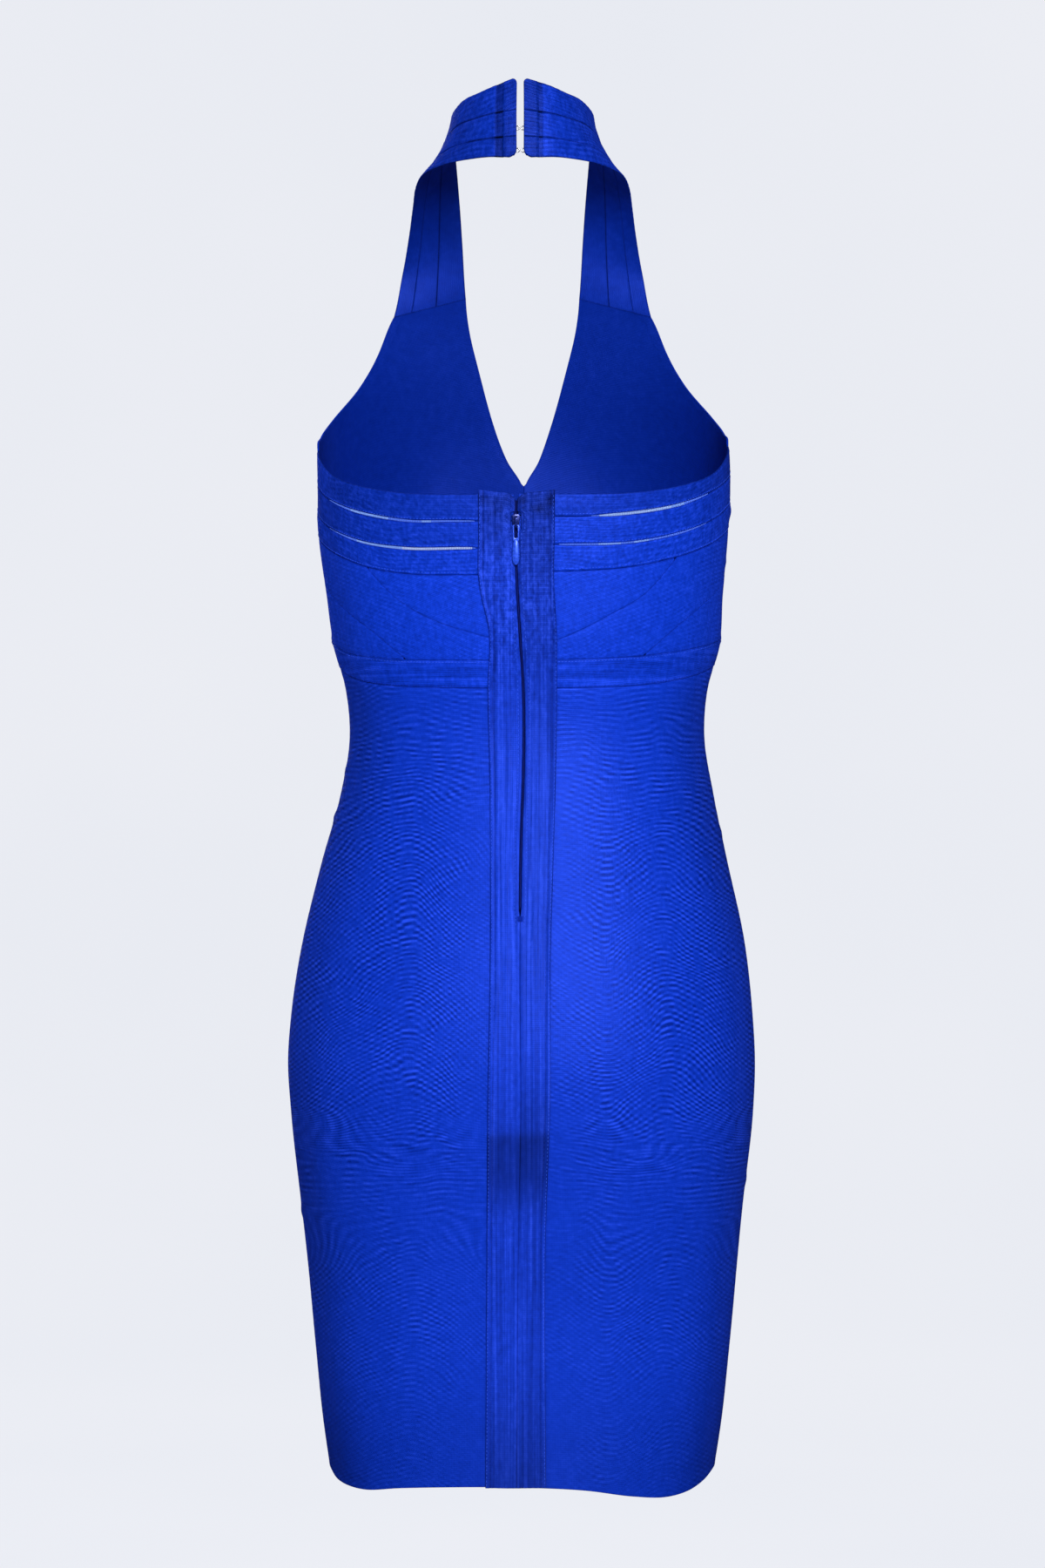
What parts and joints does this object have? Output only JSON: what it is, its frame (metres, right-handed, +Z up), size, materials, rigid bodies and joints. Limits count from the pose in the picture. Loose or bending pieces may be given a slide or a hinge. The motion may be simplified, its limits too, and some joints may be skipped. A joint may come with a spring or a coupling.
{
  "type": "halter bandage dress",
  "caption": "Fitted above-knee halter dress of banded stretch knit, worn form, open back with slits, centre-back placket and zip with a swinging pull.",
  "frame": {"origin": "middle of the collar loop at the height where the neck carries it", "axes": "+Z up; the front faces -Y, the back +Y; the wearer's left is +X"},
  "size_m": [0.3252, 0.2357, 0.9737],
  "materials": {
    "bandage_knit": "fine horizontal bandage knit with a soft satin sheen",
    "placket_knit": "the same knit with lengthwise ribs, slightly duller",
    "zip_cloth": "navy woven tape and coil",
    "zip_paint": "glossy blue enamel",
    "wire": "bright wire"
  },
  "bodies": {
    "dress": {"back_strip_L_1": "bandage_knit", "back_strip_L_2": "bandage_knit", "back_strip_L_3": "bandage_knit", "back_strip_R_1": "bandage_knit", "back_strip_R_2": "bandage_knit", "back_strip_R_3": "bandage_knit", "back_yoke_L_1": "bandage_knit", "back_yoke_L_2": "bandage_knit", "back_yoke_L_3": "bandage_knit", "back_yoke_R_1": "bandage_knit", "back_yoke_R_2": "bandage_knit", "back_yoke_R_3": "bandage_knit", "band_back_L": "bandage_knit", "band_back_R": "bandage_knit", "band_front": "bandage_knit", "collar_end_L": "bandage_knit", "collar_end_R": "bandage_knit", "eye_1": "wire", "eye_2": "wire", "front_cup_L": "bandage_knit", "front_cup_R": "bandage_knit", "halter_L_1": "bandage_knit", "halter_L_2": "bandage_knit", "halter_L_3": "bandage_knit", "halter_R_1": "bandage_knit", "halter_R_2": "bandage_knit", "halter_R_3": "bandage_knit", "hook_1": "wire", "hook_2": "wire", "placket_L": "placket_knit", "placket_R": "placket_knit", "skirt_back_L": "bandage_knit", "skirt_back_R": "bandage_knit", "skirt_front": "bandage_knit", "zip_slider": "zip_paint", "zip_tape": "zip_cloth"},
    "pull_tab": {"zip_pull": "zip_paint"}
  },
  "joints": [
    {"name": "pull_swing", "type": "hinge", "parent": "dress", "child": "pull_tab", "pos_m": [0.00449, 0.0929, -0.29118], "axis": [1, 0, 0], "range_deg": [0, 150]}
  ]
}
